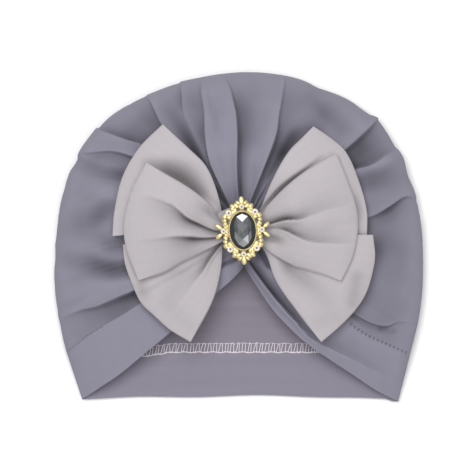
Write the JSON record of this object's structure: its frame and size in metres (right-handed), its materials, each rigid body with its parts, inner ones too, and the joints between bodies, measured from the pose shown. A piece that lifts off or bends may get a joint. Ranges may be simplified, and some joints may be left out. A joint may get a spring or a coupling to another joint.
{
  "type": "baby turban cap with bow and brooch",
  "caption": "Soft jersey turban cap for a baby, gathered at the front under a looped ribbon bow with an oval stone brooch, lying on its back.",
  "frame": {"origin": "under the middle of the cap's box, on the surface that the back of the cap lies on", "axes": "+X to the right seen from the front, +Y from the hem to the crown, +Z from the back up through the front"},
  "size_m": [0.1758, 0.1578, 0.0415],
  "materials": {
    "jersey": "fine matt grey-lilac stretch jersey",
    "jersey_band": "the same jersey, doubled",
    "ribbon": "smooth pale silver-grey cloth, soft sheen",
    "gilt": "bright pale gold plating",
    "smoked_stone": "dark smoky grey faceted stone",
    "clear_stone": "small clear faceted stones, foiled behind"
  },
  "bodies": {
    "root": {"crown": "jersey", "hem_band": "jersey_band", "ribbon_rising_right": "ribbon", "ribbon_rising_left": "ribbon", "ribbon_front": "ribbon", "knot": "ribbon", "brooch_setting": "gilt", "oval_stone": "smoked_stone", "small_stone_top": "clear_stone", "small_stone_top_right": "clear_stone", "small_stone_right": "clear_stone", "small_stone_bottom_right": "clear_stone", "small_stone_bottom": "clear_stone", "small_stone_bottom_left": "clear_stone", "small_stone_left": "clear_stone", "small_stone_top_left": "clear_stone"}
  },
  "joints": []
}
